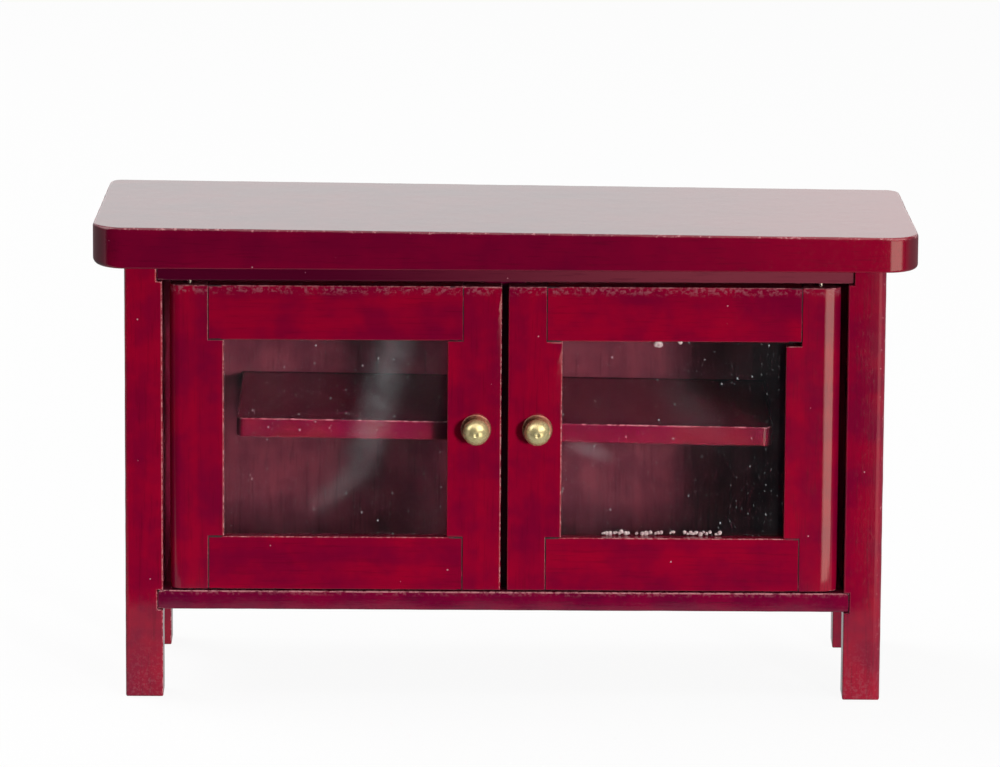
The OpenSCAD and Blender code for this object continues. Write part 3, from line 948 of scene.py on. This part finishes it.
GLUE_LIGHT = (0.62, 0.50, 0.48)
GLUE_DARK = (0.34, 0.20, 0.22)
GLUE_IOR = 1.47
GLUE_CLOUD = (2.4, 3.0, 0.6, 0.35, 0.7)
GLUE_ROUGHNESS = (0.22, 0.5)                # where it is light and where it is dark
GLUE_SEED = 31
BEAD_ROWS = ((14.0, 24.5), (25.6, 30.9))    # beads of glue along the foot of the right pane, X in mm
BEAD_RISE = 0.35                            # above the bottom rail
BEAD_RADII = (0.16, 0.34)                   # mm
BEAD_STEPS = (1.2, 2.4)                     # from one to the next, in radii
BEAD_CHANCE = 0.85                          # the others are missing
BEAD_SQUASH = 0.6
BLOBS = ((21.6, -0.55, 0.62), (24.7, -0.35, 0.32))    # X, height above the top rail's edge, radius in mm
BLOB_SQUASH = 0.5
GLUE_PROUD = 0.02                           # middles lie this far in front of the pane, mm


def dried_glue():
    made, graph = new_material("dried_glue")
    point = millimetres(graph)
    milky = graph.patches(point, *GLUE_CLOUD)
    graph.surface(graph.principled({
        "Base Color": graph.mix(milky, GLUE_LIGHT, GLUE_DARK),
        "Roughness": graph.ramp(milky, 0.0, 1.0, *GLUE_ROUGHNESS),
        "IOR": GLUE_IOR,
        "Normal": graph.bump(graph.noise(point, 5.0, 3.0), 0.04),
    }))
    return made


def add_bead(mesh, centre, radius, squash, seed):
    """One lump of glue at centre, in mm, flattened against what is behind it."""
    made = bmesh.ops.create_icosphere(mesh, subdivisions=3, radius=1.0)
    shift = Vector((seed * 2.7, seed * 1.3, seed * 3.9))
    for vertex in made["verts"]:
        swell = 1.0 + 0.35 * noise.noise(vertex.co * 1.1 + shift)
        lump = vertex.co * swell * radius
        vertex.co = centre + Vector((lump.x, lump.y * squash, lump.z))


def build_glue():
    draw = random.Random(GLUE_SEED)
    y = box_in_mm("right_glass")[0].y - GLUE_PROUD
    foot = box_in_mm("right_bottom_rail")[1].z
    head = box_in_mm("right_top_rail")[0].z
    mesh = bmesh.new()
    for start, stop in BEAD_ROWS:
        x = start
        while x < stop:
            radius = draw.uniform(*BEAD_RADII)
            height = foot + BEAD_RISE + draw.uniform(-0.15, 0.2)
            if draw.random() < BEAD_CHANCE:
                add_bead(mesh, Vector((x, y, height)), radius, BEAD_SQUASH, draw.uniform(0, 50))
            x += radius * draw.uniform(*BEAD_STEPS)
    for x, rise, radius in BLOBS:
        add_bead(mesh, Vector((x, y, head + rise)), radius, BLOB_SQUASH, draw.uniform(0, 50))
    for face in mesh.faces:
        face.smooth = True
    mesh.transform(Matrix.Scale(MM, 4))
    piece = add_object("right_pane_glue", mesh, (dried_glue(),))
    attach(piece, "right_door")


build_glue()


# ---------------------------------------------------------------- floor and lamps


FLOOR_FRONT = -0.068    # the white sheet ends this far in front, in the frame's Y, and all is in metres
FLOOR_BACK = 1.6
FLOOR_HALF_WIDTH = 1.4
PAPER = ((0.86, 0.86, 0.86), (0.90, 0.90, 0.90))
PAPER_FROM_INSIDE = (0.12, 0.12, 0.13)      # as scattered light inside the cabinet meets it through a pane
PAPER_NOISE = (0.6, 2.0)
GLOW_SHARE = 0.93       # of the sheet that is plain white, where it is seen
GLOSS_LOSS = 0.6        # by how much that is dimmer in gloss

LAMP_DISTANCE = 0.9     # metres
# name, azimuth and elevation in degrees, width and height in metres, level
LAMPS = (
    ("key", 26, 6, 0.11, 0.15, 0.95),
    ("right_fill", 66, 40, 0.45, 0.45, 0.14),
    ("overhead", -118, 46, 0.55, 0.55, 0.6),
    ("top", 0, 84, 0.5, 0.5, 0.3),
)


def unscattered(graph, path):
    """1 for a ray that no matt surface has scattered yet, and 0 for the others."""
    return graph.math("LESS_THAN", path.outputs["Diffuse Depth"], 0.5)


def sheet_material():
    """White paper that shows as plain white, with the shadows that fall on it faint."""
    made, graph = new_material("white_sheet")
    path = graph.add("ShaderNodeLightPath")
    seen = graph.math("MAXIMUM", path.outputs["Is Camera Ray"], path.outputs["Is Glossy Ray"])
    seen = graph.math("MAXIMUM", seen, path.outputs["Is Transmission Ray"])
    direct = unscattered(graph, path)
    seen = graph.math("MULTIPLY", seen, direct)
    paper = graph.mix(graph.noise(millimetres(graph), *PAPER_NOISE), *PAPER)
    indirect = graph.math("SUBTRACT", 1.0, direct)
    inside = graph.math("MULTIPLY", path.outputs["Is Transmission Ray"], indirect)
    paper = graph.mix(inside, paper, PAPER_FROM_INSIDE)
    diffuse = graph.add("ShaderNodeBsdfDiffuse", {"Color": paper})
    strength = graph.math("MULTIPLY_ADD", path.outputs["Is Glossy Ray"], -GLOSS_LOSS, 1.0)
    glow = graph.add("ShaderNodeEmission", {"Color": (1.0, 1.0, 1.0, 1.0), "Strength": strength})
    share = graph.math("MULTIPLY", seen, GLOW_SHARE)
    inputs = {0: share, 1: diffuse.outputs[0], 2: glow.outputs[0]}
    graph.surface(graph.add("ShaderNodeMixShader", inputs).outputs["Shader"])
    return made


def build_floor():
    mesh = bmesh.new()
    corners = (
        (-FLOOR_HALF_WIDTH, FLOOR_FRONT),
        (FLOOR_HALF_WIDTH, FLOOR_FRONT),
        (FLOOR_HALF_WIDTH, FLOOR_BACK),
        (-FLOOR_HALF_WIDTH, FLOOR_BACK),
    )
    mesh.faces.new([mesh.verts.new((x, y, cad_box[0][2])) for x, y in corners])
    add_object("floor", mesh, (sheet_material(),))


def direction(azimuth, elevation):
    """Unit vector; azimuth 0 is in front of the doors and 90 is to their right, in degrees."""
    turn, lift = math.radians(azimuth), math.radians(elevation)
    return Vector((math.sin(turn) * math.cos(lift), -math.cos(turn) * math.cos(lift), math.sin(lift)))


def softbox(name, azimuth, elevation, width, height, level):
    """A rectangular lamp aimed at the cabinet.

    level is the brightness that it alone gives a white surface that faces it.
    """
    data = bpy.data.lights.new(name, "AREA")
    data.shape = "RECTANGLE"
    data.size = width
    data.size_y = height
    data.energy = level * math.pi * math.pi * LAMP_DISTANCE * LAMP_DISTANCE
    lamp = bpy.data.objects.new(name, data)
    towards = direction(azimuth, elevation)
    middle = Vector((0.0, 0.0, (cad_box[0][2] + cad_box[1][2]) / 2))
    lamp.location = middle + towards * LAMP_DISTANCE
    lamp.rotation_euler = towards.to_track_quat("Z", "Y").to_euler()
    lamp.visible_camera = False
    lamp.visible_glossy = False
    bpy.context.scene.collection.objects.link(lamp)


# ---------------------------------------------------------------- world


# What gloss shows: (azimuths and softness, elevations and softness in degrees, brightness)
STUDIO = (
    ((-180, 180, 1), (55, 90, 14), (1.9, 1.7, 1.6)),
    ((13, 48, 9), (-23, 2, 7), (3.5, 3.2, 2.6)),
    ((20, 70, 20), (28, 60, 10), (4.5, 4.0, 3.6)),
    ((84, 180, 10), (-90, 30, 8), (0.55, 0.5, 0.5)),
    ((-76, -70, 2), (-60, 20, 6), (1.2, 1.0, 1.1)),
    ((-125, -70, 12), (28, 62, 10), (4.2, 4.0, 3.8)),
    ((-180, -92, 6), (-90, 30, 8), (0.36, 0.33, 0.35)),
)
DARK_FRONT = (0.012, 0.012, 0.02)       # between those patches
BACKDROP = (1.27, 1.36, 1.34)
BACKDROP_RAMP = (0.45, 0.8)             # of how far a ray goes to the back
BACKDROP_TOP = (48.0, 28.0)             # elevations at which it has ended and at which it is whole
FILL_BACK = (0.3, 0.3, 0.3)             # what diffuse rays see behind the cabinet and in front of it
FILL_FRONT = (0.02, 0.02, 0.025)
FILL_RAMP = (-0.05, -0.5)


def band(graph, value, low, high, soft):
    """1 between low and high, falling smoothly to 0 over the distance soft outside them."""
    rise = graph.ramp(value, low - soft, low)
    return graph.math("MULTIPLY", rise, graph.ramp(value, high + soft, high))


def build_world():
    """Plain fill for diffuse light. In gloss, a white backdrop behind and soft lamps round a dark front."""
    world = bpy.data.worlds.new("studio")
    world.use_nodes = True
    bpy.context.scene.world = world
    graph = Graph(world.node_tree)
    x, y, z = graph.split(graph.add("ShaderNodeTexCoord").outputs["Generated"])
    azimuth = graph.math("DEGREES", graph.math("ARCTAN2", x, graph.math("MULTIPLY", y, -1.0)))
    elevation = graph.math("DEGREES", graph.math("ARCSINE", z))
    colour = DARK_FRONT
    for azimuths, elevations, bright in STUDIO:
        mask = graph.math("MULTIPLY", band(graph, azimuth, *azimuths), band(graph, elevation, *elevations))
        colour = graph.mix(mask, colour, bright)
    behind = graph.math("MULTIPLY", graph.ramp(y, *BACKDROP_RAMP), graph.ramp(elevation, *BACKDROP_TOP))
    colour = graph.mix(behind, colour, BACKDROP)
    path = graph.add("ShaderNodeLightPath")
    mirror = graph.math("MAXIMUM", path.outputs["Is Glossy Ray"], path.outputs["Is Transmission Ray"])
    mirror = graph.math("MULTIPLY", mirror, unscattered(graph, path))
    fill = graph.mix(graph.ramp(y, *FILL_RAMP), FILL_BACK, FILL_FRONT)
    colour = graph.mix(mirror, fill, colour)
    colour = graph.mix(path.outputs["Is Camera Ray"], colour, (1.0, 1.0, 1.0))
    background = graph.add("ShaderNodeBackground", {"Color": colour, "Strength": 1.0})
    graph.add("ShaderNodeOutputWorld", {"Surface": background.outputs["Background"]})


# ---------------------------------------------------------------- camera


CAMERA_PLACE = (-0.00592, -1.0421975, 0.27122)
CAMERA_LENS = 268.7
SENSOR_WIDTH = 36.0
CLIP_END = 20.0
CAMERA_DOWN = 0.2161    # radians below level
CAMERA_YAW = 0.0051     # radians to the right
CAMERA_ROLL = 0.0065


def build_camera():
    data = bpy.data.cameras.new("camera")
    data.lens = CAMERA_LENS
    data.sensor_width = SENSOR_WIDTH
    data.clip_end = CLIP_END
    camera = bpy.data.objects.new("camera", data)
    aim = Matrix.Rotation(-CAMERA_YAW, 4, "Z") @ Matrix.Rotation(math.pi / 2 - CAMERA_DOWN, 4, "X")
    camera.matrix_world = Matrix.Translation(CAMERA_PLACE) @ aim @ Matrix.Rotation(CAMERA_ROLL, 4, "Z")
    bpy.context.scene.collection.objects.link(camera)
    bpy.context.scene.camera = camera


build_floor()
for lamp_values in LAMPS:
    softbox(*lamp_values)
build_world()
build_camera()
bpy.context.scene.view_settings.view_transform = "Standard"
